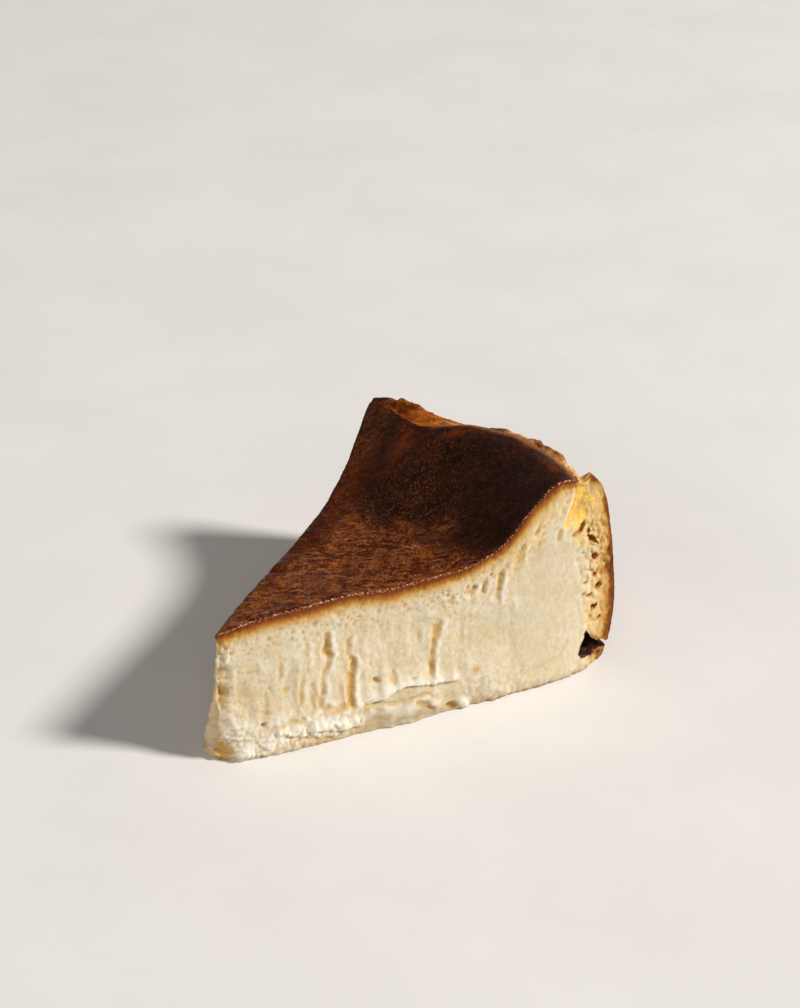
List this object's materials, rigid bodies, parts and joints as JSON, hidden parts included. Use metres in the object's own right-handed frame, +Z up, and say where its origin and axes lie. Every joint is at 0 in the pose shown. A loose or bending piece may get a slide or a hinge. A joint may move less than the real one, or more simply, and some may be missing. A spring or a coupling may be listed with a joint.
{
  "type": "basque cheesecake slice",
  "caption": "Wedge of burnt basque cheesecake with a dark dished top, a raised torn rim, a browned creased outer wall and soft cream cut faces.",
  "frame": {"origin": "centre of the slice's outline on the flat underside", "axes": "+X from the point of the wedge to the browned outer wall, +Y from the near cut to the far cut, +Z up"},
  "size_m": [0.1192, 0.0904, 0.0583],
  "materials": {
    "cheesecake": "satin"
  },
  "bodies": {
    "root": {"cheesecake_slice": "cheesecake"}
  },
  "joints": []
}
